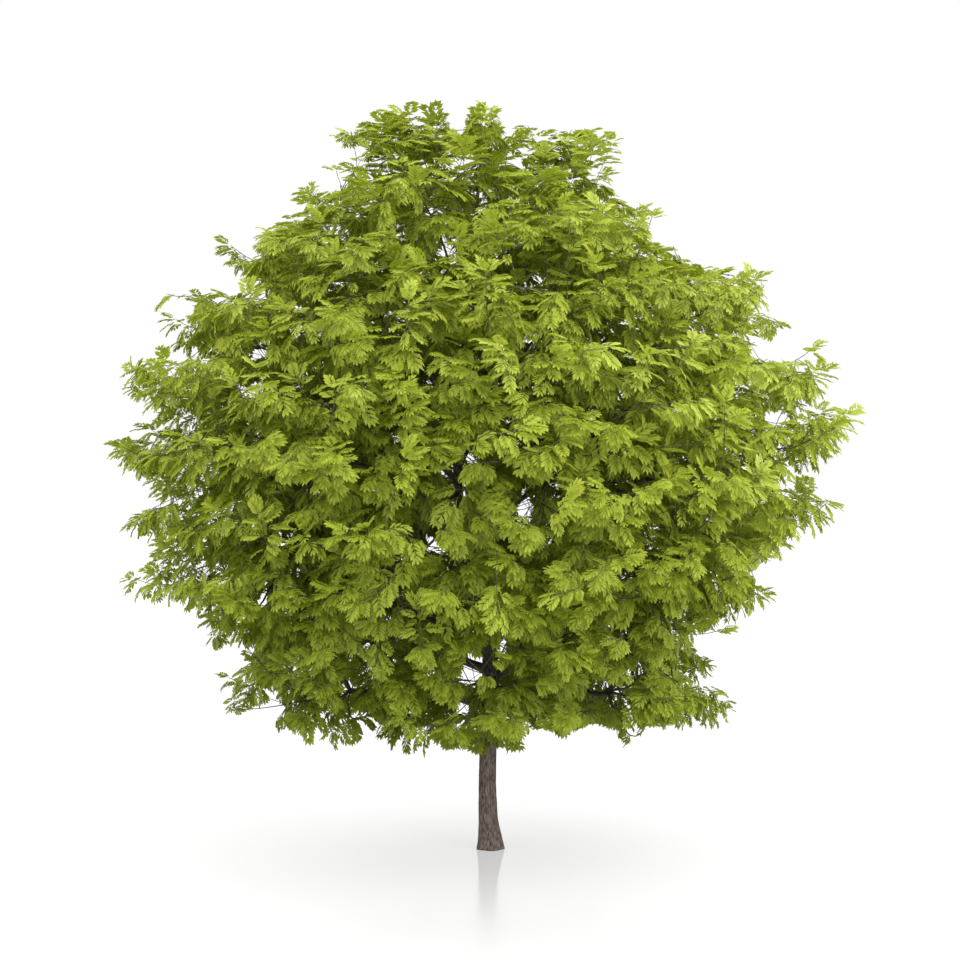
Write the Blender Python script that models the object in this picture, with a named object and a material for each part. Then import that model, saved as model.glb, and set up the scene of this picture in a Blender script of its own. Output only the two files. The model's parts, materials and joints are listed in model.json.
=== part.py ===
"""Young common ash in full leaf: a trunk, its main boughs and the foliage that each bough carries.

Metres, +Z up. The origin is the centre of the trunk's foot, which is cut flat at ground level.
The crown is shared out among its masses of foliage: a mass owns the space that lies nearer to its own
centre than to any other, inside the crown's outline. Each mass is one branching twig that goes on from
the tip of its bough, with a thin blade for the spray of leaves at the end of every shoot.
"""

import math
import random

import bmesh
import bpy
import numpy as np
from mathutils import Vector
from mathutils.bvhtree import BVHTree

UP = Vector((0.0, 0.0, 1.0))
GAP = 0.0003                 # left between pieces that touch

# Trunk: height, middle x, middle y, radius. Its last row is the tip, inside the topmost foliage.
TRUNK = (
    (0.00, 0.000, 0.000, 0.150),
    (0.05, -0.001, 0.000, 0.141),
    (0.12, -0.004, 0.001, 0.128),
    (0.22, -0.012, 0.002, 0.116),
    (0.34, -0.022, 0.003, 0.104),
    (0.55, -0.028, 0.004, 0.097),
    (0.80, -0.030, 0.004, 0.092),
    (1.20, -0.018, 0.000, 0.089),
    (1.65, -0.008, -0.006, 0.087),
    (2.10, -0.004, -0.010, 0.084),
    (2.55, -0.050, -0.004, 0.076),
    (3.05, -0.160, 0.010, 0.064),
    (3.65, -0.318, 0.030, 0.052),
    (4.20, -0.355, 0.050, 0.044),
    (4.90, -0.325, 0.050, 0.037),
    (5.60, -0.260, 0.020, 0.030),
    (6.20, -0.200, 0.000, 0.024),
    (6.70, -0.160, -0.010, 0.019),
)
TRUNK_SIDES = 12
FLARE_LOBES = 5              # low buttresses round the foot
FLARE_HEIGHT = 0.40
FLARE_DEPTH = 0.09           # of the radius, at the ground

# Crown outline: height, then the foliage's reach from the Z axis towards -X, +X, -Y and +Y.
CROWN = (
    (1.06, 2.10, 1.80, 0.80, 0.80),
    (1.20, 2.60, 2.50, 1.50, 1.50),
    (1.50, 2.90, 2.70, 2.45, 2.45),
    (2.20, 2.98, 2.62, 2.90, 2.90),
    (2.50, 3.55, 2.92, 3.25, 3.20),
    (2.75, 4.00, 3.12, 3.50, 3.45),
    (3.40, 4.05, 3.75, 3.70, 3.60),
    (3.75, 4.08, 3.95, 3.78, 3.68),
    (4.45, 4.02, 4.05, 3.75, 3.65),
    (5.00, 3.98, 3.88, 3.62, 3.55),
    (5.40, 3.92, 3.45, 3.38, 3.35),
    (5.85, 3.75, 3.15, 3.05, 3.05),
    (6.00, 3.25, 3.05, 2.95, 2.95),
    (6.45, 3.05, 2.90, 2.60, 2.60),
    (6.62, 2.98, 1.95, 2.35, 2.35),
    (6.95, 2.50, 1.70, 1.95, 1.95),
    (7.10, 1.90, 1.50, 1.75, 1.75),
    (7.65, 1.82, 1.45, 1.35, 1.35),
    (7.85, 1.50, 1.15, 1.00, 1.00),
    (8.02, 0.95, 0.45, 0.45, 0.45),
)

# Tiers of boughs: name, how many, azimuth of the first (0 is +X, 90 is +Y), height of their masses'
# centres, those centres' share of the crown's reach, and the lowest and highest bough foot on the trunk.
TIERS = (
    ("skirt", 6, 206.0, 1.84, 0.68, 1.50, 1.90),
    ("lower", 6, 184.0, 3.05, 0.70, 2.10, 2.62),
    ("middle", 6, 350.0, 4.32, 0.70, 2.92, 3.58),
    ("upper", 6, 170.0, 5.56, 0.67, 3.92, 4.62),
    ("head", 5, 176.0, 6.72, 0.68, 5.05, 5.65),
)
TOP_CENTRE = Vector((-0.10, 0.00, 7.40))
CENTRE_STEP = 0.16           # neighbours in a tier stand this much higher and lower by turns
CENTRE_SWAY = 7.0            # degrees that a bough may stray from its even place

# Boughs
BOUGH_SIDES = 5
BOUGH_RINGS = 4
BOUGH_SHARE = 0.62           # of its radius and run: where the bough ends and its twig goes on
BOUGH_FOOT = 0.046           # radius at the trunk, at most
BOUGH_OF_TRUNK = 0.60        # and at most this share of the trunk's radius there
BOUGH_TAPER = 0.56           # tip radius to foot radius
BOUGH_COLLAR = 1.35          # swelling where it leaves the trunk
BOUGH_ARCH = 0.075           # rise of the arc above the straight way, as a share of the run
BOUGH_BOW = 0.045            # sideways bend, as a share of the run

# Twigs and sprays of a mass
SHOOTS = 850                 # in the whole crown, shared out by the room that each mass has
CANDIDATES = 60              # places tried for each new shoot; the one with most room is taken
SEARCH = 2.3                 # half the width of the block in which they are tried
ROOM_TESTS = 1500            # places tried to measure a mass's room
ROOM_POWER = 0.55            # below 1, small masses get more shoots for their room than large ones
INNER_WEIGHT = 0.18          # how much a place on the crown's axis counts against one at its outline
ROUTE_SHARE = 0.30           # how much the way back to the bough counts against the way to a shoot
CROWDING = 0.12              # metres that each shoot already on a node counts for
TURN_LIMIT = -0.15           # cosine of the sharpest turn that a twig takes
SPACE_MARGIN = 0.02
LIMB_MARGIN = 0.06
STEP = 0.12                  # between the places where a twig or a spray is tested
STEM_POINTS = 5
STEM_OF_TIP = 0.96           # a stem's radius at its start, as a share of its bough's tip
TWIG_LEAST = 0.014           # radius of the thinnest twig
PIPE_POWER = 2.3             # a twig's radius to this power is shared out among the shoots it carries
TWIG_OFFSET = 0.05           # how far back from a node of the thicker twig a side twig starts
TWIG_ROOT = 0.42             # a side twig's radius at its start, as a share of the thicker twig's
SPRAY_BEYOND = 0.92          # how far a spray goes on past its shoot, as a share of the shoots' spacing
STEM_SHORT = 0.80            # metres that a stem stays short of the outline, for the spray at its end
SPRAY_WIDTH = 0.62           # of its length
SPRAY_THICKNESS = 0.045      # of its length
SPRAY_OFFSET = (0.04, 0.24)  # how far back from the end of its twig a spray may start
SPRAY_SINK = 0.004           # how far its root goes past the middle of its twig
SPRAY_LIFT = 0.6             # sprays face away from the place on the axis this far below them
SPRAY_TILT = 0.45            # spread of the way that a spray faces
SPRAY_STRAY = (0.14, 0.012)  # spread of its direction on the first try, and what each further try adds
END_SPRAY = 1.7              # a spray at the end of a twig is this much longer than the others go on
SPRAY_TRIES = 40
SPRAY_SHRINK = 0.97          # each further try is this much smaller

SPRAY_SEED = 1011            # added to a mass's own seed
RESOWN = {"head_foliage_1": 37}    # and this as well, where two sprays would only graze each other

FLAT_ANGLE = 0.001           # radians between faces that count as one
NEAR = 0.0000002             # points this close count as one

BARK = (0.165, 0.140, 0.118)
FOLIAGE_TONES = {            # name and colour by tier: the lower foliage is the darker
    "skirt": ("foliage_low", (0.110, 0.150, 0.026)),
    "lower": ("foliage_low", (0.110, 0.150, 0.026)),
    "middle": ("foliage_middle", (0.135, 0.180, 0.030)),
    "upper": ("foliage_high", (0.165, 0.215, 0.038)),
    "head": ("foliage_high", (0.165, 0.215, 0.038)),
    "top": ("foliage_high", (0.165, 0.215, 0.038)),
}


# ------------------------------------------------------------------ outline of the trunk and the crown

def between(rows, height):
    """The row at a height, read off straight lines between the rows."""
    if height <= rows[0][0]:
        return rows[0][1:]
    for low, high in zip(rows, rows[1:]):
        if height <= high[0]:
            share = (height - low[0]) / (high[0] - low[0])
            return tuple(a + (b - a) * share for a, b in zip(low[1:], high[1:]))
    return rows[-1][1:]


def trunk_middle(height):
    x, y, _ = between(TRUNK, height)
    return Vector((x, y, height))


def trunk_radius(height):
    return between(TRUNK, height)[2]


def crown_reach(height, azimuth):
    """How far the crown reaches at a height, in the direction of an azimuth in radians."""
    if not CROWN[0][0] <= height <= CROWN[-1][0]:
        return 0.0
    left, right, front, back = between(CROWN, height)
    across = right if math.cos(azimuth) > 0.0 else left
    along = back if math.sin(azimuth) > 0.0 else front
    return across * math.cos(azimuth) ** 2 + along * math.sin(azimuth) ** 2


def depth_in_crown(point):
    """0 on the crown's axis, 1 on its outline and more outside."""
    reach = crown_reach(point.z, math.atan2(point.y, point.x))
    return math.hypot(point.x, point.y) / reach if reach > 0.0 else 9.0


# ------------------------------------------------------------------ limbs and spaces

def bezier(a, b, c, share):
    return a * (1.0 - share) ** 2 + b * 2.0 * share * (1.0 - share) + c * share ** 2


class Mass:
    """One mass of foliage: its centre, and the bough, if any, that carries it."""

    def __init__(self, tier, number, centre, foot_height, seed):
        self.tier = tier
        self.name = f"{tier}_foliage_{number}" if number else f"{tier}_foliage"
        self.bough_name = f"{tier}_bough_{number}" if number else None
        self.centre = centre
        self.seed = seed
        rng = random.Random(seed)
        if self.bough_name:
            foot = trunk_middle(foot_height)
            run = centre - foot
            aside = UP.cross(run).normalized() * rng.uniform(-1.0, 1.0) * BOUGH_BOW * run.length
            knee = foot + run * 0.5 + UP * BOUGH_ARCH * run.length * 2.0 + aside * 2.0
            shares = [BOUGH_SHARE * k / (BOUGH_RINGS - 1) for k in range(BOUGH_RINGS)]
            self.bough = [bezier(foot, knee, centre, share) for share in shares]
            radius = min(BOUGH_FOOT, BOUGH_OF_TRUNK * trunk_radius(foot_height))
            self.radii = [radius * (1.0 + (BOUGH_TAPER - 1.0) * share / BOUGH_SHARE) for share in shares]
            self.tip = self.bough[-1]
            self.tip_faces = (self.bough[-1] - self.bough[-2]).normalized()
            self.stem = [bezier(foot, knee, centre, BOUGH_SHARE + (1.0 - BOUGH_SHARE) * k / 2.0)
                         for k in (0, 1, 2)]
        else:
            self.bough = []
            self.radii = [trunk_radius(TRUNK[-1][0])]
            self.tip = trunk_middle(TRUNK[-1][0])
            self.tip_faces = (self.tip - trunk_middle(TRUNK[-2][0])).normalized()
            self.stem = [self.tip, self.tip.lerp(centre, 0.5), centre]
        self.stem += self.outer_stem()

    def outer_stem(self):
        """The stem's points beyond the centre, to the furthest shoot of the mass."""
        ahead = (self.stem[-1] - self.stem[-2]).normalized()
        end = self.centre.copy()
        while depth_in_crown(end + ahead * STEM_SHORT) < 1.0:
            end += ahead * 0.02
        return [self.centre.lerp(end, k / (STEM_POINTS - 3.0)) for k in range(1, STEM_POINTS - 2)]


def make_masses():
    masses = []
    rng = random.Random(11)
    for tier, count, first, height, share, lowest, highest in TIERS:
        for k in range(count):
            azimuth = math.radians(first + 360.0 * k / count + rng.uniform(-CENTRE_SWAY, CENTRE_SWAY))
            z = height + (CENTRE_STEP if k % 2 else -CENTRE_STEP) * rng.uniform(0.5, 1.0)
            out = share * crown_reach(z, azimuth)
            centre = Vector((out * math.cos(azimuth), out * math.sin(azimuth), z))
            order = (2 * k) % count if count % 2 else k // 2 + k % 2 * count // 2
            foot = lowest + (highest - lowest) * order / (count - 1)
            masses.append(Mass(tier, k + 1, centre, foot, 100 + len(masses)))
    masses.append(Mass("top", 0, TOP_CENTRE, 0.0, 100 + len(masses)))
    return masses


def limb_rows(masses):
    """Every straight stretch of trunk and bough as start, way and radius, for distances."""
    starts, ways, radii = [], [], []
    for low, high in zip(TRUNK, TRUNK[1:]):
        a, b = trunk_middle(low[0]), trunk_middle(high[0])
        starts.append(a)
        ways.append(b - a)
        radii.append(max(low[3], high[3]))
    for mass in masses:
        for k in range(len(mass.bough) - 1):
            starts.append(mass.bough[k])
            ways.append(mass.bough[k + 1] - mass.bough[k])
            radii.append(mass.radii[k])
    return np.array(starts), np.array(ways), np.array(radii)


def steps_along(start, end):
    """Places every STEP or less from start to end."""
    count = max(2, math.ceil((end - start).length / STEP))
    return [start.lerp(end, (k + 1) / count) for k in range(count)]


def limb_clearance(points, limbs):
    """The least distance from any of the points to the surface of a limb."""
    starts, ways, radii = limbs
    away = np.array(points)[:, None, :] - starts[None]
    share = np.clip((away * ways).sum(2) / (ways * ways).sum(1), 0.0, 1.0)
    distance = np.linalg.norm(away - share[..., None] * ways, axis=2) - radii
    return float(distance.min())


def share_out(masses):
    """Give each mass the planes halfway to the others, as a direction and a limit along it."""
    for mass in masses:
        ways = sorted((other.centre - mass.centre for other in masses if other is not mass),
                      key=lambda way: way.length)
        mass.planes = [(way.normalized(), way.length / 2.0 - SPACE_MARGIN) for way in ways]


def in_own_space(point, mass):
    """Whether a point lies in the crown, nearer to this mass's centre than to any other's."""
    offset = point - mass.centre
    return all(offset.dot(way) < limit for way, limit in mass.planes) and depth_in_crown(point) < 1.0


# ------------------------------------------------------------------ the branching rule

class Node:
    """A point on a twig: its place, the point it grows from and the way back along the twig."""

    def __init__(self, place, parent):
        self.place = place
        self.parent = parent
        self.route = parent.route + (place - parent.place).length if parent else 0.0
        self.length = (place - parent.place).length if parent else 0.0
        self.ahead = (place - parent.place).normalized() if parent else None
        self.shoots = 0
        self.children = 0
        if parent:
            parent.children += 1


def best_host(nodes, place):
    """The twig node that brings a new shoot the shortest way from the bough."""
    best, least = None, 1e9
    for node in nodes[1:]:
        way = place - node.place
        if way.normalized().dot(node.ahead) < TURN_LIMIT:
            continue
        cost = way.length + ROUTE_SHARE * node.route + CROWDING * node.children
        if cost < least:
            best, least = node, cost
    return best


def room_of(mass):
    """The volume of a mass's own space, from places tried in the block round its centre."""
    rng = random.Random(mass.seed + 300)
    hits = 0
    for _ in range(ROOM_TESTS):
        place = mass.centre + Vector([rng.uniform(-SEARCH, SEARCH) for _ in range(3)])
        hits += in_own_space(place, mass)
    return hits / ROOM_TESTS * (2.0 * SEARCH) ** 3


def grow(mass, limbs, shoots):
    """The twig nodes of a mass: first those of its stem, then one for each further shoot."""
    rng = random.Random(mass.seed + 500)
    nodes = [Node(mass.stem[0], None)]
    for place in mass.stem[1:]:
        nodes.append(Node(place, nodes[-1]))
    ends = [nodes[-1].place]
    for _ in range(shoots - 1):
        best, room = None, 0.0
        for _ in range(CANDIDATES):
            place = mass.centre + Vector([rng.uniform(-SEARCH, SEARCH) for _ in range(3)])
            if not in_own_space(place, mass):
                continue
            weight = INNER_WEIGHT + (1.0 - INNER_WEIGHT) * depth_in_crown(place)
            here = min((place - end).length for end in ends) * weight
            if here > room:
                best, room = place, here
        host = best_host(nodes, best) if best else None
        if host and limb_clearance(steps_along(host.place, best), limbs) > LIMB_MARGIN:
            nodes.append(Node(best, host))
            ends.append(best)
    for node in nodes[STEM_POINTS - 1:]:
        while node:
            node.shoots += 1
            node = node.parent
    return nodes


# ------------------------------------------------------------------ solids

def add_object(name, mesh, material):
    thing = bpy.data.objects.new(name, mesh)
    bpy.context.scene.collection.objects.link(thing)
    mesh.materials.clear()
    mesh.materials.append(material)
    return thing


def make_material(name, colour, roughness):
    material = bpy.data.materials.new(name)
    material.use_nodes = True
    shader = material.node_tree.nodes["Principled BSDF"]
    shader.inputs["Base Color"].default_value = (*colour, 1.0)
    shader.inputs["Roughness"].default_value = roughness
    shader.inputs["Metallic"].default_value = 0.0
    return material


def tube(name, places, radii, sides, turn=0.0, facing=None, lobed=None):
    """A closed tube along places, with a ring of the given radius at each. Its start may face its own way."""
    build = bmesh.new()
    rings = []
    side = None
    for k, place in enumerate(places):
        ahead = (places[min(k + 1, len(places) - 1)] - places[max(k - 1, 0)]).normalized()
        if facing and k == 0:
            ahead = facing
        if side is None:
            side = ahead.orthogonal() if abs(ahead.z) < 0.99 else Vector((1.0, 0.0, 0.0))
        side = (side - ahead * side.dot(ahead)).normalized()
        over = ahead.cross(side)
        ring = []
        for s in range(sides):
            angle = turn + 2.0 * math.pi * s / sides
            radius = radii[k] * (lobed(place.z, angle) if lobed else 1.0)
            ring.append(build.verts.new(place + (side * math.cos(angle) + over * math.sin(angle)) * radius))
        rings.append(ring)
    for low, high in zip(rings, rings[1:]):
        for s in range(sides):
            build.faces.new((low[s], low[(s + 1) % sides], high[(s + 1) % sides], high[s]))
    build.faces.new(list(reversed(rings[0])))
    build.faces.new(rings[-1])
    bmesh.ops.triangulate(build, faces=build.faces[:])
    mesh = bpy.data.meshes.new(name)
    build.to_mesh(mesh)
    build.free()
    return mesh


def flare(height, angle):
    """The buttresses' share of the trunk's radius."""
    strength = max(0.0, 1.0 - height / FLARE_HEIGHT) ** 2
    return 1.0 + FLARE_DEPTH * strength * math.cos(FLARE_LOBES * angle + 0.6)


def make_trunk(name, extra, material):
    places = [trunk_middle(row[0]) for row in TRUNK]
    radii = [row[3] + extra for row in TRUNK]
    mesh = tube(name, places, radii, TRUNK_SIDES, facing=UP, lobed=flare)
    return add_object(name, mesh, material)


def make_bough(mass, cutter, material):
    """A bough, swollen at its foot and cut off clear of the trunk."""
    first, second = mass.bough[0], mass.bough[1]
    swell = first.lerp(second, 0.45)
    places = [first, swell] + mass.bough[1:]
    radii = [mass.radii[0] * BOUGH_COLLAR, mass.radii[0] * 1.02] + mass.radii[1:]
    mesh = tube(mass.bough_name, places, radii, BOUGH_SIDES)
    bough = add_object(mass.bough_name, mesh, material)
    cut = bough.modifiers.new("clear_of_trunk", "BOOLEAN")
    cut.operation = "DIFFERENCE"
    cut.object = cutter
    apply_modifiers(bough)
    merge_flat_faces(bough.data)
    keep_largest_body(bough.data)
    return bough


def apply_modifiers(thing):
    graph = bpy.context.evaluated_depsgraph_get()
    made = bpy.data.meshes.new_from_object(thing.evaluated_get(graph))
    old = thing.data
    thing.modifiers.clear()
    thing.data = made
    made.name = old.name
    bpy.data.meshes.remove(old)


def merge_flat_faces(mesh):
    """Join the flat faces that a Boolean has split, unless that would open the mesh."""
    build = bmesh.new()
    build.from_mesh(mesh)
    bmesh.ops.dissolve_limit(build, angle_limit=FLAT_ANGLE, verts=build.verts, edges=build.edges)
    bmesh.ops.triangulate(build, faces=build.faces[:])
    if all(edge.is_manifold for edge in build.edges) and all(vert.is_manifold for vert in build.verts):
        build.to_mesh(mesh)
    build.free()


def is_closed(mesh):
    """Whether every edge has two faces and nothing touches itself, with near points taken as one."""
    build = bmesh.new()
    build.from_mesh(mesh)
    bmesh.ops.remove_doubles(build, verts=build.verts, dist=NEAR)
    closed = len(build.faces) > 0 and all(edge.is_manifold for edge in build.edges)
    closed = closed and all(vert.is_manifold for vert in build.verts)
    build.free()
    return closed


def face_volume(face):
    """Six times the signed volume between a face and the origin."""
    first, *rest = [vert.co for vert in face.verts]
    return sum(first.dot(b.cross(c)) for b, c in zip(rest, rest[1:]))


def keep_largest_body(mesh):
    """Drop loose scraps and sealed hollows: keep the connected body of the greatest volume."""
    build = bmesh.new()
    build.from_mesh(mesh)
    left = set(build.faces)
    bodies = []
    while left:
        front = [left.pop()]
        body = set(front)
        while front:
            for edge in front.pop().edges:
                for face in edge.link_faces:
                    if face in left:
                        left.discard(face)
                        body.add(face)
                        front.append(face)
        bodies.append(body)
    largest = max(bodies, key=lambda body: sum(map(face_volume, body)))
    bmesh.ops.delete(build, geom=[face for face in build.faces if face not in largest], context="FACES")
    build.to_mesh(mesh)
    build.free()


def spray_corners(root, tip, normal):
    """A blade's root and tip, and its two sides, which stand above the line from root to tip."""
    along = tip - root
    side = normal.cross(along).normalized()
    over = along.normalized().cross(side)
    middle = root.lerp(tip, 0.5) + over * SPRAY_THICKNESS * along.length
    half = side * SPRAY_WIDTH * along.length / 2.0
    return [root, tip, middle + half, middle - half]


SPRAY_FACES = ((0, 3, 2), (1, 2, 3), (0, 1, 3), (1, 0, 2))


def place_spray(mass, limbs, node, beyond, sticks, blades, rng):
    """Corners of the spray that spans a shoot, or None where it has no room."""
    onward = node.children > 0
    base = node if onward else node.parent
    reach = 0.0 if onward else node.length
    outward = (node.place - Vector((0.0, 0.0, node.place.z - SPRAY_LIFT))).normalized()
    for k in range(SPRAY_TRIES):
        back = SPRAY_OFFSET[0] if onward else rng.uniform(*SPRAY_OFFSET)
        start = base.place - base.ahead * min(back, 0.8 * base.length)
        straight = node.ahead if onward else (node.place - start).normalized()
        stray = Vector([rng.gauss(0.0, SPRAY_STRAY[0] + SPRAY_STRAY[1] * k) for _ in range(3)])
        ahead = (straight + stray).normalized()
        length = (reach + beyond * (END_SPRAY if onward else 1.0)) * SPRAY_SHRINK ** k
        tilt = Vector([rng.gauss(0.0, SPRAY_TILT) for _ in range(3)])
        normal = UP * 0.25 + outward * 0.80 + tilt
        corners = spray_corners(start - ahead * SPRAY_SINK, start + ahead * length, normal)
        if not all(in_own_space(corner, mass) for corner in corners):
            continue
        tree = BVHTree.FromPolygons(corners, SPRAY_FACES)
        if any(tree.overlap(other) for other in blades):
            continue
        if any(tree.overlap(other) for end, other in sticks if end != base.place):
            continue
        root, tip, left, right = corners
        edges = ((root, left), (left, tip), (tip, right), (right, root), (root, tip), (left, right))
        test = [place for edge in edges for place in steps_along(*edge)]
        if limb_clearance(test, limbs) > LIMB_MARGIN:
            blades.append(tree)
            return corners
    return None


def spray_mesh(name, corners):
    mesh = bpy.data.meshes.new(name)
    mesh.from_pydata(corners, [], SPRAY_FACES)
    build = bmesh.new()
    build.from_mesh(mesh)
    bmesh.ops.recalc_face_normals(build, faces=build.faces[:])
    build.to_mesh(mesh)
    build.free()
    return mesh


def stick_tree(start, end):
    """A thin flat strip along a twig, for finding what crosses it."""
    side = (end - start).orthogonal().normalized() * TWIG_LEAST
    return BVHTree.FromPolygons([start + side, start - side, end - side, end + side], [(0, 1, 2, 3)])


def chains_of(nodes):
    """Runs of nodes that one twig follows. Shoots at the ends are left out: their sprays span them."""
    stem = nodes[:STEM_POINTS]
    inner = [node for node in nodes if node.children or node in stem]
    onward = {}
    for node in inner[1:]:
        rival = onward.get(node.parent)
        if rival is None or node in stem or (rival not in stem and node.shoots > rival.shoots):
            onward[node.parent] = node
    chains = []
    for node in inner:
        if node.parent and onward[node.parent] is node:
            continue
        chain = [node.parent, node] if node.parent else [node]
        while chain[-1] in onward:
            chain.append(onward[chain[-1]])
        chains.append(chain)
    return chains


def twig_radii(chain, mass, nodes):
    """Radii along a twig: each node carries its share of the shoots that hang on the stem."""
    thick = STEM_OF_TIP * mass.radii[-1]
    shares = [(node.shoots / nodes[0].shoots) ** (1.0 / PIPE_POWER) for node in chain]
    return [max(TWIG_LEAST, thick * share) for share in shares]


def make_mass(mass, limbs, shoots, room, material):
    """Fuse a mass's twigs and sprays into one body."""
    nodes = grow(mass, limbs, shoots)
    beyond = SPRAY_BEYOND * (room / shoots) ** (1.0 / 3.0)
    rng = random.Random(mass.seed + SPRAY_SEED + RESOWN.get(mass.name, 0))
    pieces, sticks, blades = [], [], []
    for chain in chains_of(nodes):
        places = [node.place for node in chain]
        radii = twig_radii(chain, mass, nodes)
        if pieces:
            facing = None
            places[0] = places[0] - chain[0].ahead * min(TWIG_OFFSET, 0.4 * chain[0].length)
            radii[0] = min(radii[1], TWIG_ROOT * radii[0])
        else:
            facing = mass.tip_faces
            places[0] = places[0] + facing * GAP
        turn = rng.uniform(0.0, 2.0)
        pieces.append(tube(f"{mass.name}_twig_{len(pieces)}", places, radii, 3, turn, facing))
        sticks += [(end, stick_tree(start, end)) for start, end in zip(places, places[1:])]
    for node in nodes[STEM_POINTS - 1:]:
        corners = place_spray(mass, limbs, node, beyond, sticks, blades, rng)
        if corners:
            pieces.append(spray_mesh(f"{mass.name}_spray_{len(blades)}", corners))
    joined = fuse(mass.name, pieces, material, "EXACT")
    if not is_closed(joined.data):
        bpy.data.objects.remove(joined)
        joined = fuse(mass.name, pieces, material, "MANIFOLD")
    merge_flat_faces(joined.data)
    keep_largest_body(joined.data)
    for mesh in pieces:
        bpy.data.meshes.remove(mesh)
    return joined


def fuse(name, pieces, material, solver):
    """One Boolean union of a piece with the collection of all the others."""
    others = bpy.data.collections.new(f"{name}_pieces")
    bpy.context.scene.collection.children.link(others)
    for mesh in pieces[1:]:
        others.objects.link(bpy.data.objects.new(mesh.name, mesh))
    joined = add_object(name, pieces[0].copy(), material)
    union = joined.modifiers.new("union", "BOOLEAN")
    union.operation = "UNION"
    union.solver = solver
    union.operand_type = "COLLECTION"
    union.collection = others
    apply_modifiers(joined)
    for thing in list(others.objects):
        bpy.data.objects.remove(thing)
    bpy.data.collections.remove(others)
    return joined


def main():
    for thing in list(bpy.data.objects):
        bpy.data.objects.remove(thing)
    bark = make_material("bark", BARK, 0.85)
    tones = {name: make_material(name, colour, 0.55) for name, colour in dict(FOLIAGE_TONES.values()).items()}
    masses = make_masses()
    share_out(masses)
    limbs = limb_rows(masses)
    make_trunk("trunk", 0.0, bark)
    cutter = make_trunk("trunk_clearance", GAP / math.cos(math.pi / TRUNK_SIDES), bark)
    for mass in masses:
        if mass.bough_name:
            make_bough(mass, cutter, bark)
    bpy.data.objects.remove(cutter)
    rooms = [room_of(mass) for mass in masses]
    shares = [room ** ROOM_POWER for room in rooms]
    for k, mass in enumerate(masses):
        shoots = round(SHOOTS * shares[k] / sum(shares))
        make_mass(mass, limbs, shoots, rooms[k], tones[FOLIAGE_TONES[mass.tier][0]])


main()
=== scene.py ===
"""Looks of the young ash: bark on trunk and boughs, fine twigs, compound leaves, camera, light and floor.

The branching rule is the part's own, carried on to more and finer shoots in the same spaces.
"""

import json
import math
import random

import bpy
import numpy as np
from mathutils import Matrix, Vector

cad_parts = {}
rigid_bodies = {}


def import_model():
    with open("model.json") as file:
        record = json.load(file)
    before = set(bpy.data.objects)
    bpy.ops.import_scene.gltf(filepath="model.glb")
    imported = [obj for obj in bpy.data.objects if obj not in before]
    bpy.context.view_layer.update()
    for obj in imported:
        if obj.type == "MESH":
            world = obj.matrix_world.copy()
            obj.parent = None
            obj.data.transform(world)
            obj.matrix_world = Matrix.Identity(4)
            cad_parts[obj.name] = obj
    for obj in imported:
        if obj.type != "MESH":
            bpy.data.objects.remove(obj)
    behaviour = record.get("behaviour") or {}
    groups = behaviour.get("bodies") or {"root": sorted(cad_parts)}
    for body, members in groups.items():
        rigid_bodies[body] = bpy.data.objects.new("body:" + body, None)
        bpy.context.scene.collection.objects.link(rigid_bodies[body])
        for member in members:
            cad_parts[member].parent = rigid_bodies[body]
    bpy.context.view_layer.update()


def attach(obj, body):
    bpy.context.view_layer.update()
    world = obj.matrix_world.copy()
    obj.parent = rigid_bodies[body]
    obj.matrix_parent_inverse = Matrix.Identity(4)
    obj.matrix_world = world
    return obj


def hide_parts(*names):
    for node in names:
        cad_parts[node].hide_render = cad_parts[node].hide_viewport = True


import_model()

UP = Vector((0.0, 0.0, 1.0))
UP_WAY = np.array([0.0, 0.0, 1.0])
TINY = 1e-9  # keeps divisions by a length sound

# Trunk: height, middle x, middle y, radius
TRUNK = (
    (0.00, 0.000, 0.000, 0.150),
    (0.05, -0.001, 0.000, 0.141),
    (0.12, -0.004, 0.001, 0.128),
    (0.22, -0.012, 0.002, 0.116),
    (0.34, -0.022, 0.003, 0.104),
    (0.55, -0.028, 0.004, 0.097),
    (0.80, -0.030, 0.004, 0.092),
    (1.20, -0.018, 0.000, 0.089),
    (1.65, -0.008, -0.006, 0.087),
    (2.10, -0.004, -0.010, 0.084),
    (2.55, -0.050, -0.004, 0.076),
    (3.05, -0.160, 0.010, 0.064),
    (3.65, -0.318, 0.030, 0.052),
    (4.20, -0.355, 0.050, 0.044),
    (4.90, -0.325, 0.050, 0.037),
    (5.60, -0.260, 0.020, 0.030),
    (6.20, -0.200, 0.000, 0.024),
    (6.70, -0.160, -0.010, 0.019),
)
FLARE_LOBES = 5
FLARE_TURN = 0.6  # in radians
FLARE_HEIGHT = 0.40
FLARE_DEPTH = 0.05

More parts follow.
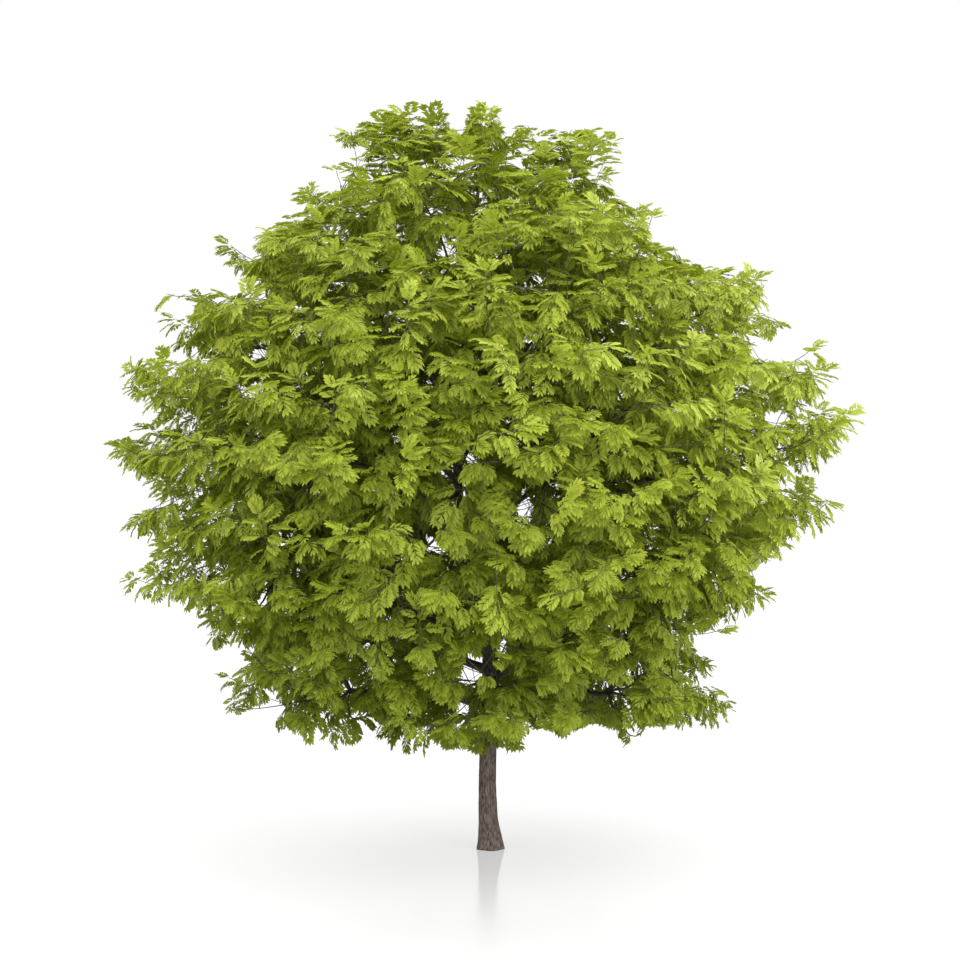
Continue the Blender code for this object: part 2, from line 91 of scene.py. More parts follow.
# Crown outline: height, then the foliage's reach from the Z axis towards -X, +X, -Y and +Y
CROWN = (
    (1.06, 2.10, 1.80, 0.80, 0.80),
    (1.20, 2.60, 2.50, 1.50, 1.50),
    (1.50, 2.90, 2.70, 2.45, 2.45),
    (2.20, 2.98, 2.62, 2.90, 2.90),
    (2.50, 3.55, 2.92, 3.25, 3.20),
    (2.75, 4.00, 3.12, 3.50, 3.45),
    (3.40, 4.05, 3.75, 3.70, 3.60),
    (3.75, 4.08, 3.95, 3.78, 3.68),
    (4.45, 4.02, 4.05, 3.75, 3.65),
    (5.00, 3.98, 3.88, 3.62, 3.55),
    (5.40, 3.92, 3.45, 3.38, 3.35),
    (5.85, 3.75, 3.15, 3.05, 3.05),
    (6.00, 3.25, 3.05, 2.95, 2.95),
    (6.45, 3.05, 2.90, 2.60, 2.60),
    (6.62, 2.98, 1.95, 2.35, 2.35),
    (6.95, 2.50, 1.70, 1.95, 1.95),
    (7.10, 1.90, 1.50, 1.75, 1.75),
    (7.65, 1.82, 1.45, 1.35, 1.35),
    (7.85, 1.50, 1.15, 1.00, 1.00),
    (8.02, 0.95, 0.45, 0.45, 0.45),
)

# Tiers: name, masses, azimuth of the first, height of their centres, those centres' share of the crown's
# reach, and the lowest and highest bough foot on the trunk
TIERS = (
    ("skirt", 6, 206.0, 1.84, 0.68, 1.50, 1.90),
    ("lower", 6, 184.0, 3.05, 0.70, 2.10, 2.62),
    ("middle", 6, 350.0, 4.32, 0.70, 2.92, 3.58),
    ("upper", 6, 170.0, 5.56, 0.67, 3.92, 4.62),
    ("head", 5, 176.0, 6.72, 0.68, 5.05, 5.65),
)
TOP_CENTRE = Vector((-0.10, 0.00, 7.40))
CENTRE_STEP = 0.16  # masses of a tier stand higher and lower by turns
CENTRE_SWAY = 7.0  # in degrees
CENTRES_SEED = 11
FIRST_SEED = 100  # the first mass's, the others count on

BOUGH_RINGS = 4
BOUGH_SHARE = 0.62  # of the way to the mass's centre
BOUGH_FOOT = 0.046  # radius at most
BOUGH_OF_TRUNK = 0.60  # the same for the trunk's radius there
BOUGH_TAPER = 0.56
BOUGH_COLLAR = 1.35
BOUGH_ARCH = 0.075  # upward and aside, for its length
BOUGH_BOW = 0.045

# Layers of foliage: height of one on the outline, step to the next, rise outward, how far their heights
# sway round the crown in steps, how deep the outline is notched between two, and how thin it is there
LAYER_HEIGHT = 5.15
LAYER_STEP = 0.68
LAYER_SLOPE = 0.36
LAYER_SWAY = 0.30
LAYER_SWAYS_ROUND = (2.0, 5.0)  # the second half as high
LAYER_NOTCH = 0.15
LAYER_THIN = 0.38

# The crown's underside: height and length of its swells, how far they wander in radians, and the share of
# their pace and the phase of a slower swell over them
UNDERSIDE_SWELL = 0.32
UNDERSIDE_PERIOD = 0.92
UNDERSIDE_WANDER = 1.9
UNDERSIDE_SLOWER = 0.6
UNDERSIDE_PHASE = 2.0

# Gaps that show sky from the front: X and height of the middle, half the width and half the height
GAPS_INSIDE = (
    (-2.50, 5.32, 0.10, 0.06),
    (0.39, 3.70, 0.08, 0.12),
    (-0.62, 3.27, 0.08, 0.06),
    (-2.46, 2.66, 0.06, 0.07),
    (-0.20, 1.94, 0.08, 0.19),
    (0.14, 2.19, 0.05, 0.07),
    (-0.22, 4.20, 0.06, 0.05),
    (3.05, 4.62, 0.12, 0.04),
    (-0.03, 2.04, 0.07, 0.15),
    (-0.30, 1.52, 0.08, 0.05),
    (-0.33, 3.78, 0.05, 0.15),
)
NOTCHES_IN_OUTLINE = (
    (-0.34, 7.92, 0.07, 0.26),
    (0.17, 7.92, 0.06, 0.26),
    (0.78, 8.06, 0.70, 0.35),
    (1.36, 7.86, 0.16, 0.07),
    (1.52, 7.08, 0.20, 0.12),
    (1.98, 6.62, 0.26, 0.16),
    (2.42, 6.44, 0.30, 0.20),
    (3.08, 5.99, 0.14, 0.14),
    (3.10, 5.34, 0.30, 0.10),
    (3.76, 3.82, 0.26, 0.07),
    (3.04, 2.94, 0.22, 0.12),
    (2.42, 2.20, 0.24, 0.12),
    (0.56, 1.10, 0.22, 0.15),
    (1.10, 1.10, 0.30, 0.20),
    (1.72, 1.06, 0.26, 0.16),
    (-1.50, 7.88, 0.14, 0.08),
    (-1.72, 7.16, 0.14, 0.10),
    (-2.68, 6.52, 0.12, 0.10),
    (-3.32, 5.80, 0.13, 0.10),
    (-3.70, 5.98, 0.24, 0.09),
    (-4.02, 4.72, 0.30, 0.07),
    (-2.62, 1.32, 0.30, 0.11),
)
SKY_GAPS = GAPS_INSIDE + NOTCHES_IN_OUTLINE
VIEW_DISTANCE = 18.8  # from the trunk, and the eye's height and X
VIEW_HEIGHT = 3.95
VIEW_X = -0.11

# The branching rule, with more shoots than the part's solids have
SHOOTS = 3400
CANDIDATES = 60  # places tried for every shoot
SEARCH = 2.3  # and how far from the mass's centre
SHOOT_SEED = 500  # this and its like below are added to a mass's seed
ROOM_TESTS = 1500
ROOM_SEED = 300
ROOM_POWER = 0.90  # large masses get somewhat fewer shoots for their room
INNER_WEIGHT = 0.18  # how well the crown's axis attracts shoots, the outline by 1
ROUTE_SHARE = 0.30  # cost of the way back to the bough, for that of the new twig
CROWDING = 0.12  # cost of every twig that the host bears already
TURN_LIMIT = -0.15  # cosine of the sharpest turn from the host
FOCUS_SHARE = 0.62  # shoots grow away from the axis point at this share of their height
ASIDE_COST = 0.9  # of growing square to that
SPACE_MARGIN = 0.02
SHOOT_OUTLINE = 0.965  # shoots end this far out, their leaves reach the outline
ROOM_BELOW = 0.20  # and that far above the crown's underside, for leaves to hang
STEM_POINTS = 5
STEM_SHORT = 0.80  # the stem ends this far inside the outline
STEM_OF_TIP = 0.96  # its radius for the bough's tip
TWIG_LEAST = 0.0032  # the least radius
PIPE_POWER = 2.0  # a twig's radius to this power goes with the shoots that it bears


# ---- the part's own outline and limbs

FAR_OUTSIDE = 9.0  # depth of places above or below the crown
CURVE_STEPS = 12  # to measure a bough's curve in
STEM_STEP = 0.02  # to look for the stem's end in


def between(rows, height):
    """The row at a height, read off straight lines between the rows."""
    if height <= rows[0][0]:
        return rows[0][1:]
    for low, high in zip(rows, rows[1:]):
        if height <= high[0]:
            share = (height - low[0]) / (high[0] - low[0])
            return tuple(a + (b - a) * share for a, b in zip(low[1:], high[1:]))
    return rows[-1][1:]


def trunk_middle(height):
    """The place on the trunk's middle line at a height."""
    x, y, _ = between(TRUNK, height)
    return Vector((x, y, height))


def depth_in_crown(points):
    """For each point, 0 on the crown's axis, 1 on its outline and more outside."""
    rows = np.array(CROWN)
    x, y, z = points[:, 0], points[:, 1], points[:, 2]
    left, right, front, back = (np.interp(z, rows[:, 0], rows[:, k]) for k in (1, 2, 3, 4))
    out = np.hypot(x, y) + TINY
    reach = np.where(x > 0, right, left) * (x / out) ** 2 + np.where(y > 0, back, front) * (y / out) ** 2
    inside = (z >= rows[0, 0]) & (z <= rows[-1, 0])
    return np.where(inside, out / reach, FAR_OUTSIDE)


def between_layers(points):
    """For each point, 0 in a layer of foliage and 1 halfway between two."""
    rows = np.array(CROWN)
    reach = np.interp(points[:, 2], rows[:, 0], rows[:, 1:].mean(axis=1))
    inside = np.maximum(reach - np.hypot(points[:, 0], points[:, 1]), 0.0)
    azimuth = np.arctan2(points[:, 1], points[:, 0])
    phase = (points[:, 2] - LAYER_HEIGHT + LAYER_SLOPE * inside) / LAYER_STEP
    phase = phase + LAYER_SWAY * np.sin(LAYER_SWAYS_ROUND[0] * azimuth)
    phase = phase + 0.5 * LAYER_SWAY * np.sin(LAYER_SWAYS_ROUND[1] * azimuth + points[:, 2])
    return 0.5 - 0.5 * np.cos(2.0 * np.pi * phase)


def above_underside(points, room=0.0):
    """Which points lie above the crown's uneven underside, with some room to spare."""
    wave = 2.0 * np.pi / UNDERSIDE_PERIOD
    swell = np.sin(wave * points[:, 0] + UNDERSIDE_WANDER * np.sin(wave * points[:, 1]))
    swell = swell * np.sin(UNDERSIDE_SLOWER * wave * points[:, 0] + UNDERSIDE_PHASE)
    return points[:, 2] - room > CROWN[0][0] + UNDERSIDE_SWELL * (0.5 + 0.5 * swell)


def in_sky_gap(points):
    """Which points would close one of the gaps through the crown, seen from the front."""
    nearer = VIEW_DISTANCE / (VIEW_DISTANCE + points[:, 1])
    x = VIEW_X + (points[:, 0] - VIEW_X) * nearer
    z = VIEW_HEIGHT + (points[:, 2] - VIEW_HEIGHT) * nearer
    closed = np.zeros(len(points), bool)
    for middle_x, middle_z, half_width, half_height in SKY_GAPS:
        closed |= ((x - middle_x) / half_width) ** 2 + ((z - middle_z) / half_height) ** 2 < 1.0
    return closed


def bezier(a, b, c, share):
    """A place on the curve from a to c that is drawn towards b."""
    return a * (1.0 - share) ** 2 + b * 2.0 * share * (1.0 - share) + c * share ** 2


class Mass:
    """One mass of foliage: its centre, and the bough, if any, that carries it."""

    def __init__(self, tier, number, centre, foot_height, seed):
        self.tier = tier
        self.name = f"{tier}_foliage_{number}" if number else f"{tier}_foliage"
        self.bough_name = f"{tier}_bough_{number}" if number else None
        self.centre = centre
        self.seed = seed
        rng = random.Random(seed)
        if self.bough_name:
            foot = trunk_middle(foot_height)
            run = centre - foot
            aside = UP.cross(run).normalized() * rng.uniform(-1.0, 1.0) * BOUGH_BOW * run.length
            knee = foot + run * 0.5 + UP * BOUGH_ARCH * run.length * 2.0 + aside * 2.0
            self.curve = (foot, knee, centre)
            shares = [BOUGH_SHARE * k / (BOUGH_RINGS - 1) for k in range(BOUGH_RINGS)]
            self.bough = [bezier(foot, knee, centre, share) for share in shares]
            radius = min(BOUGH_FOOT, BOUGH_OF_TRUNK * between(TRUNK, foot_height)[2])
            self.radii = [radius * (1.0 + (BOUGH_TAPER - 1.0) * share / BOUGH_SHARE) for share in shares]
            self.stem = [bezier(foot, knee, centre, BOUGH_SHARE + (1.0 - BOUGH_SHARE) * k / 2.0)
                         for k in range(3)]
        else:
            self.bough = []
            self.radii = [TRUNK[-1][3]]
            tip = trunk_middle(TRUNK[-1][0])
            self.stem = [tip, tip.lerp(centre, 0.5), centre]
        self.stem += self.outer_stem()

    def curve_length(self):
        """Length of the bough along its curve."""
        places = [bezier(*self.curve, BOUGH_SHARE * k / CURVE_STEPS) for k in range(CURVE_STEPS + 1)]
        return sum((b - a).length for a, b in zip(places, places[1:]))

    def outer_stem(self):
        """The stem's points beyond the centre, to the furthest shoot of the mass."""
        ahead = (self.stem[-1] - self.stem[-2]).normalized()
        end = self.centre.copy()
        while depth_in_crown(np.array([end + ahead * STEM_SHORT]))[0] < 1.0:
            end += ahead * STEM_STEP
        return [self.centre.lerp(end, k / (STEM_POINTS - 3.0)) for k in range(1, STEM_POINTS - 2)]


def crown_reach(height, azimuth):
    """How far the crown reaches at a height, in the direction of an azimuth in radians."""
    left, right, front, back = between(CROWN, height)
    x, y = math.cos(azimuth), math.sin(azimuth)
    return (right if x > 0.0 else left) * x ** 2 + (back if y > 0.0 else front) * y ** 2


def make_masses():
    """All masses with their centres in the tiers, each with the planes that bound its own space."""
    masses = []
    rng = random.Random(CENTRES_SEED)
    for tier, count, first, height, share, lowest, highest in TIERS:
        for k in range(count):
            azimuth = math.radians(first + 360.0 * k / count + rng.uniform(-CENTRE_SWAY, CENTRE_SWAY))
            z = height + (CENTRE_STEP if k % 2 else -CENTRE_STEP) * rng.uniform(0.5, 1.0)
            out = share * crown_reach(z, azimuth)
            centre = Vector((out * math.cos(azimuth), out * math.sin(azimuth), z))
            order = (2 * k) % count if count % 2 else k // 2 + k % 2 * count // 2
            foot = lowest + (highest - lowest) * order / (count - 1)
            masses.append(Mass(tier, k + 1, centre, foot, FIRST_SEED + len(masses)))
    masses.append(Mass("top", 0, TOP_CENTRE, 0.0, FIRST_SEED + len(masses)))
    for mass in masses:
        ways = np.array([other.centre - mass.centre for other in masses if other is not mass])
        lengths = np.linalg.norm(ways, axis=1)
        mass.ways = ways / lengths[:, None]
        mass.limits = lengths / 2.0 - SPACE_MARGIN
    return masses


def in_own_space(points, mass, outline=1.0, slack=0.0, notch=LAYER_NOTCH):
    """Which points lie in the crown, nearer to this mass's centre than to any other's."""
    offsets = points - np.array(mass.centre)
    own = (offsets @ mass.ways.T < mass.limits + slack).all(axis=1)
    return own & (depth_in_crown(points) < outline * (1.0 - notch * between_layers(points)))


# ---- the branching rule

class Node:
    """A point on a twig: its place, the point it grows from and the way back along the twig."""

    def __init__(self, place, parent):
        self.place = place
        self.parent = parent
        self.children = []
        self.shoots = 0
        self.route = 0.0
        if parent:
            way = place - parent.place
            self.length = way.length
            self.ahead = way.normalized()
            self.route = parent.route + way.length
            parent.children.append(self)


def best_host(nodes, place):
    """The twig node that leads a new shoot the shortest way from the bough, out and up."""
    best, least = None, math.inf
    outward = (place - UP * FOCUS_SHARE * place.z).normalized()
    for node in nodes[1:]:
        way = place - node.place
        ahead = way.normalized()
        if ahead.dot(node.ahead) < TURN_LIMIT:
            continue
        aside = ASIDE_COST * (1.0 - ahead.dot(outward))
        cost = way.length * (1.0 + aside) + ROUTE_SHARE * node.route + CROWDING * len(node.children)
        if cost < least:
            best, least = node, cost
    return best


def places_tried(mass, rng, count):
    """Random places in the block round a mass's centre."""
    offsets = np.array([[rng.uniform(-SEARCH, SEARCH) for _ in range(3)] for _ in range(count)])
    return offsets + np.array(mass.centre)


def room_of(mass):
    """The volume of a mass's own space, by the share of the places tried that lie in it."""
    tried = places_tried(mass, random.Random(mass.seed + ROOM_SEED), ROOM_TESTS)
    return in_own_space(tried, mass).mean() * (2.0 * SEARCH) ** 3


def grow(mass, shoots):
    """The twig nodes of a mass: those of its stem, then one for each further shoot."""
    rng = random.Random(mass.seed + SHOOT_SEED)
    nodes = [Node(mass.stem[0], None)]
    for place in mass.stem[1:]:
        nodes.append(Node(place, nodes[-1]))
    ends = [list(nodes[-1].place)]
    for _ in range(shoots - 1):
        tried = places_tried(mass, rng, CANDIDATES)
        tried = tried[in_own_space(tried, mass, SHOOT_OUTLINE)]
        tried = tried[depth_in_crown(tried - UP_WAY * ROOM_BELOW) < 1.0]
        tried = tried[above_underside(tried, ROOM_BELOW) & ~in_sky_gap(tried)]
        if not len(tried):
            continue
        weight = INNER_WEIGHT + (1.0 - INNER_WEIGHT) * depth_in_crown(tried)
        weight = weight * (1.0 - LAYER_THIN * between_layers(tried))
        away = np.linalg.norm(tried[:, None] - np.array(ends)[None], axis=2).min(axis=1)
        best = Vector(tried[int(np.argmax(away * weight))])
        host = best_host(nodes, best)
        if host:
            nodes.append(Node(best, host))
            ends.append(list(best))
    for node in nodes[STEM_POINTS - 1:]:
        while node:
            node.shoots += 1
            node = node.parent
    return nodes


# ---- meshes from arrays

STEEP = 0.8  # rings on steeper paths take their start from X, the others from Z


def array_mesh(name, points, faces, slots=None, uvs=None, smooth=True):
    """A mesh whose faces all have as many sides, with slots by face and UVs by corner."""
    sides = faces.shape[1]
    mesh = bpy.data.meshes.new(name)
    mesh.vertices.add(len(points))
    mesh.vertices.foreach_set("co", points.astype(np.float32).ravel())
    mesh.loops.add(faces.size)
    mesh.loops.foreach_set("vertex_index", faces.astype(np.int32).ravel())
    mesh.polygons.add(len(faces))
    mesh.polygons.foreach_set("loop_start", np.arange(len(faces), dtype=np.int32) * sides)
    mesh.polygons.foreach_set("loop_total", np.full(len(faces), sides, dtype=np.int32))
    mesh.polygons.foreach_set("use_smooth", np.full(len(faces), smooth))
    if slots is not None:
        mesh.polygons.foreach_set("material_index", slots.astype(np.int32))
    if uvs is not None:
        layer = mesh.uv_layers.new(name="OFBake")
        layer.data.foreach_set("uv", uvs.astype(np.float32).ravel())
    mesh.update(calc_edges=True)
    mesh.validate()
    return mesh


def add_object(name, data):
    """A mesh, camera or light as an object of the scene."""
    added = bpy.data.objects.new(name, data)
    bpy.context.scene.collection.objects.link(added)
    return added


def add_piece(name, mesh, materials, nodes):
    """A piece of the tree: it stands for these nodes and takes these materials."""
    piece = add_object(name, mesh)
    for material in materials:
        mesh.materials.append(material)
    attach(piece, "root")
    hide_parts(*nodes)


def unit(ways):
    """The same directions with length 1."""
    return ways / np.maximum(np.linalg.norm(ways, axis=-1, keepdims=True), TINY)


def rings_along(paths, radii, sides):
    """Points of the rings round a batch of paths: shapes (n, k, 3) and (n, k) or (n, k, sides)."""
    ahead = unit(np.gradient(paths, axis=1))
    overall = unit(paths[:, -1] - paths[:, 0])
    reference = np.where(np.abs(overall[:, 2:]) < STEEP, [[0.0, 0.0, 1.0]], [[1.0, 0.0, 0.0]])
    side = unit(np.cross(ahead, reference[:, None]))
    over = np.cross(ahead, side)
    angles = 2.0 * np.pi * np.arange(sides) / sides
    round_way = (side[:, :, None] * np.cos(angles)[None, None, :, None]
                 + over[:, :, None] * np.sin(angles)[None, None, :, None])
    if radii.ndim == 2:
        radii = radii[:, :, None]
    return paths[:, :, None] + round_way * radii[..., None]


def tube_faces(count, rings, sides):
    """Faces of a batch of tubes, ring after ring, with both ends closed by fans of quads."""
    base = np.arange(count)[:, None, None] * rings * sides
    low = np.arange(rings - 1)[None, :, None] * sides
    here = np.arange(sides)[None, None, :]
    there = (here + 1) % sides
    corners = [base + low + here, base + low + there, base + low + sides + there, base + low + sides + here]
    walls = np.stack([np.broadcast_to(corner, (count, rings - 1, sides)) for corner in corners], axis=-1)
    fan = np.array([[0, k, k + 1, k + 2] for k in range(1, sides - 2, 2)])
    ends = np.concatenate([fan[:, ::-1], fan + (rings - 1) * sides])
    return np.concatenate([walls.reshape(-1, 4), (base + ends[None]).reshape(-1, 4)])


# ---- bark on trunk and boughs

TRUNK_SIDES = 96
TRUNK_RING_STEP = 0.022
TRUNK_RELIEF = 0.0042
TRUNK_CELLS = 30
TRUNK_CELL_LENGTH = 0.16
TRUNK_SEED = 5
BOUGH_SIDES = 14
BOUGH_RING_STEP = 0.035
BOUGH_LEAST_RINGS = 8
BOUGH_RELIEF = 0.0014
BOUGH_CELLS = 7
BOUGH_CELL_LENGTH = 0.12

WANDER = 0.10  # how far fissures wander round, in turns
WANDER_CELLS = 5
WANDER_LENGTH = 2.5  # in lengths of the plates
FINE_LENGTH = 0.35  # the small relief's, in the same, and how many of its cells lie across a plate
FINE_CELLS = 2
FISSURE_POWER = 0.7
FISSURE_SHARE = 0.7
FINE_SHARE = 0.5
THIN_POWER = 0.6  # the relief goes with this power of the trunk's radius
COLLAR_LENGTH = 0.14
KNOT_LENGTH = 0.22
KNOTS_ROUND = 3
KNOT_SIZE = 0.14  # for the bough's radius
KNOT_SEED = 40


def lattice_noise(around, along, cells, seed):
    """Smooth noise from 0 to 1 that closes on itself once round, with cells spaced by 1 along."""
    rows = int(along.max()) + 3
    table = np.random.default_rng(seed).random((rows, cells))
    u = (around % 1.0) * cells
    column, row = np.floor(u).astype(int), np.floor(along).astype(int)
    across, up = u - column, along - row
    across, up = across * across * (3.0 - 2.0 * across), up * up * (3.0 - 2.0 * up)
    first, second = column % cells, (column + 1) % cells
    low = table[row, first] * (1.0 - across) + table[row, second] * across
    high = table[row + 1, first] * (1.0 - across) + table[row + 1, second] * across
    return low * (1.0 - up) + high * up


def bark_relief(around, height, cells, length, seed):
    """Long upright plates with fissures between them, from about -1 to 1."""
    bend = (lattice_noise(around, height / (length * WANDER_LENGTH), WANDER_CELLS, seed) - 0.5) * WANDER
    coarse = lattice_noise(around + bend, height / length, cells, seed + 1)
    fine = lattice_noise(around + bend, height / (length * FINE_LENGTH), cells * FINE_CELLS, seed + 2)
    fissure = 1.0 - np.abs(coarse * 2.0 - 1.0) ** FISSURE_POWER * 2.0
    return -FISSURE_SHARE * fissure + FINE_SHARE * (fine - 0.5)


def smooth_path(places, count):
    """Evenly spaced points of a curve through the places, and where each lies, counted in places."""
    places = np.array(places)
    padded = np.vstack([2 * places[0] - places[1], places, 2 * places[-1] - places[-2]])
    lengths = np.linalg.norm(np.diff(places, axis=0), axis=1)
    at = np.interp(np.linspace(0.0, lengths.sum(), count), np.concatenate([[0.0], lengths.cumsum()]),
                   np.arange(len(places)))
    k = np.minimum(at.astype(int), len(places) - 2)
    t = (at - k)[:, None]
    a, b, c, d = padded[k], padded[k + 1], padded[k + 2], padded[k + 3]
    curve = 0.5 * (2 * b + (c - a) * t + (2 * a - 5 * b + 4 * c - d) * t ** 2
                   + (3 * b - a - 3 * c + d) * t ** 3)
    return curve, at


def make_trunk():
    """The trunk's surface, flared and lobed at the foot, with its bark's plates."""
    rows = np.array(TRUNK)
    count = int(rows[-1, 0] / TRUNK_RING_STEP)
    middle = rows[:, [1, 2, 0]]
    path, at = smooth_path(middle, count)
    path[0], path[-1] = middle[0], middle[-1]
    radii = np.interp(at, np.arange(len(rows)), rows[:, 3])
    around = np.arange(TRUNK_SIDES) / TRUNK_SIDES
    grid_around, grid_height = np.meshgrid(around, path[:, 2])
    flare = np.maximum(0.0, 1.0 - grid_height / FLARE_HEIGHT) ** 2
    lobes = 1.0 + FLARE_DEPTH * flare * np.cos(FLARE_LOBES * 2.0 * np.pi * grid_around + FLARE_TURN)
    relief = bark_relief(grid_around, grid_height, TRUNK_CELLS, TRUNK_CELL_LENGTH, TRUNK_SEED)
    relief = relief * TRUNK_RELIEF * (radii / radii.max())[:, None] ** THIN_POWER
    surface = radii[:, None] * lobes + relief
    angles = 2.0 * np.pi * around
    round_way = np.stack([np.cos(angles), np.sin(angles), np.zeros(TRUNK_SIDES)], axis=-1)
    points = path[:, None] + round_way[None] * surface[..., None]
    points[0, :, 2] = 0.0
    return points.reshape(-1, 3), tube_faces(1, len(path), TRUNK_SIDES)


def make_bough(mass):
    """A bough's surface from inside the trunk's bark to its tip."""
    length = mass.curve_length()
    count = max(BOUGH_LEAST_RINGS, int(length / BOUGH_RING_STEP))
    shares = np.linspace(0.0, BOUGH_SHARE, count)
    path = np.array([bezier(*mass.curve, share) for share in shares])
    along = np.linspace(0.0, length, count)
    radii = np.interp(shares, [0.0, BOUGH_SHARE], [mass.radii[0], mass.radii[-1]])
    collar = (BOUGH_COLLAR - 1.0) * np.exp(-along / COLLAR_LENGTH)
    around = np.arange(BOUGH_SIDES) / BOUGH_SIDES
    grid_around, grid_along = np.meshgrid(around, along)
    relief = bark_relief(grid_around, grid_along, BOUGH_CELLS, BOUGH_CELL_LENGTH, mass.seed) * BOUGH_RELIEF
    knots = lattice_noise(grid_around, grid_along / KNOT_LENGTH, KNOTS_ROUND, mass.seed + KNOT_SEED) - 0.5
    surface = radii[:, None] * (1.0 + collar[:, None] + knots * KNOT_SIZE) + relief
    points = rings_along(path[None], surface[None], BOUGH_SIDES)
    return points.reshape(-1, 3), tube_faces(1, count, BOUGH_SIDES)


# ---- twigs

TWIG_POINTS = 5
TWIG_SIDES = 4
TWIG_LIFT = 0.38  # how far shoots turn up towards the light
TWIG_LEAVE = 0.7  # how far side twigs start off along their host
TWIG_OF_HOST = 0.75  # a side twig's radius at its foot for its host's, at most
TWIG_FOOT = 1.3  # and for its own at the end


def onward_child(node):
    """The child that carries most shoots: the twig goes on into it without a bend."""
    return max(node.children, key=lambda child: (child.shoots, -child.place.z), default=None)


def set_bends(nodes):
    """Directions of the twigs at every node."""
    nodes[0].bend = (nodes[1].place - nodes[0].place).normalized()
    for node in nodes[1:]:
        onward = onward_child(node)
        node.bend = (node.ahead + (onward.ahead if onward else UP * TWIG_LIFT)).normalized()


def twig_curve(node):
    """Points of the twig from a node's parent to the node."""
    onward = onward_child(node.parent) is node
    leave = node.parent.bend if onward else (node.ahead + node.parent.bend * TWIG_LEAVE).normalized()
    t = np.linspace(0.0, 1.0, TWIG_POINTS)[:, None]
    a, b = np.array(node.parent.place), np.array(node.place)
    va, vb = np.array(leave) * node.length, np.array(node.bend) * node.length
    return ((2 * t ** 3 - 3 * t ** 2 + 1) * a + (t ** 3 - 2 * t ** 2 + t) * va
            + (3 * t ** 2 - 2 * t ** 3) * b + (t ** 3 - t ** 2) * vb)


def twig_radius(node, mass):
    """A twig's radius at a node, by the shoots that it bears."""
    thick = STEM_OF_TIP * mass.radii[-1]
    return max(TWIG_LEAST, thick * (node.shoots / mass.nodes[0].shoots) ** (1.0 / PIPE_POWER))


def mass_twigs(mass):
    """Curves and radii of a mass's twigs."""
    set_bends(mass.nodes)
    curves, radii = [], []
    for node in mass.nodes[1:]:
        node.curve = twig_curve(node)
        end, start = twig_radius(node, mass), twig_radius(node.parent, mass)
        if onward_child(node.parent) is not node:
            start = min(TWIG_OF_HOST * start, TWIG_FOOT * end)
        curves.append(node.curve)
        radii.append(np.linspace(start, end, TWIG_POINTS))
    return np.array(curves), np.array(radii)


# ---- compound leaves

LEAF_LENGTH = (0.19, 0.27)
SHAPES_OF_EACH = 8
SHAPES_SEED = 4

# Leaves far out in the crown and deep inside: leaflet pairs, a leaflet's width for its length, outline
FINE_OUTLINE = ((0.0, 0.0), (0.32, 0.44), (0.78, 0.46), (1.0, 0.0), (0.78, -0.46), (0.32, -0.44))
PLAIN_OUTLINE = ((0.0, 0.0), (0.50, 0.50), (1.0, 0.0), (0.50, -0.50))
FINE_LEAF = ((4, 5, 5, 5), 0.31, FINE_OUTLINE)
PLAIN_LEAF = ((4, 5), 0.42, PLAIN_OUTLINE)
PLAIN_DEPTH = 0.78  # of the way out to the outline
PLAIN_LENGTH = 1.35  # plain leaves are that much longer
LOW_HEIGHTS = (2.1, 3.3)  # and leaves below these heights shorter
LOW_LENGTHS = (0.84, 1.0)

# A leaf for its length
LEAF_ARCH = 0.31  # how far its tip hangs below the line it starts on
LEAF_DRAWN_IN = 0.10  # how much of its reach the arch takes
LEAF_BEND = 0.07  # aside, at most
FIRST_PAIR = 0.22
PAIRS_SPAN = 0.50
RACHIS_WIDTH = 0.009
RACHIS_TAPER = (0.6, 0.4)  # share left at the base, and lost to the tip
RACHIS_SHARES = (0.0, 0.36, 0.72)
RACHIS_BELOW = 0.003
RACHIS_UV = (0.5, 0.02, 0.10, 0.1)  # middle and half width, base and length on the leaflets' map
LEAFLET_LENGTH = 0.365
PAIR_SIZES = (0.78, 0.24)  # what the pairs have of that, and how much more in the middle
PAIR_SHIFT = 1.5  # sets the longest pair nearer to the leaf's base
LEAFLET_ANGLE = (52.0, 20.0)  # from the midrib at the leaf's base, and how much less at its tip
LEAFLET_FOLD = 0.12  # how far its edges stand above its midrib, for its width
LEAFLET_DROOP = 0.14
LEAFLET_ROLL = 0.24  # leaflets lie on each other like slats
ANGLE_SCATTER = 6.0
END_SCATTER = 0.12
ROLL_SCATTER = 0.14
PLACE_SCATTER = 0.012
DROOP_RANGE = (0.3, 1.7)
WIDTH_RANGE = (0.90, 1.10)
SIZE_RANGE = (0.92, 1.08)
END_SIZES = (0.80, 0.95)

# A shoot's leaves as a hand, one at its tip and pairs behind it: how far back in metres, angle from the
# shoot, angle round it from its right side over the top, length, and how far the leaf turns down from there
HAND_TIP = (0.000, 0.0, 0.0, 0.92, 0.00)
HAND_PAIRS = (
    (0.010, 27.0, 6.0, 0.95, 0.04),
    (0.040, 36.0, -66.0, 0.95, 0.24),
    (0.075, 50.0, 6.0, 1.00, 0.14),
    (0.130, 56.0, -52.0, 1.00, 0.34),
    (0.190, 66.0, 2.0, 0.95, 0.22),
    (0.260, 68.0, -40.0, 0.90, 0.36),
)
HAND = [HAND_TIP] + [(back, angle, turn, length, hang) for back, angle, right, length, hang in HAND_PAIRS
                     for turn in (right, 180.0 - right)]
INNER_HAND = HAND[3:9]  # on shoots that other twigs go on from
SEAT_LEAST = 0.1  # of its twig's length, from the twig's foot
HAND_SCATTER = 0.12
LEAF_SCATTER = 0.12
HANG_SCATTER = 0.10
SPREAD_RANGE = (0.85, 1.15)
TURN_SCATTER = 10.0
LEAF_SEED = 70
SKYWARD = 0.95  # the upper side of a hand faces the sky and away from the crown's middle
OUTWARD = 0.55
CROWN_MIDDLE = 3.4
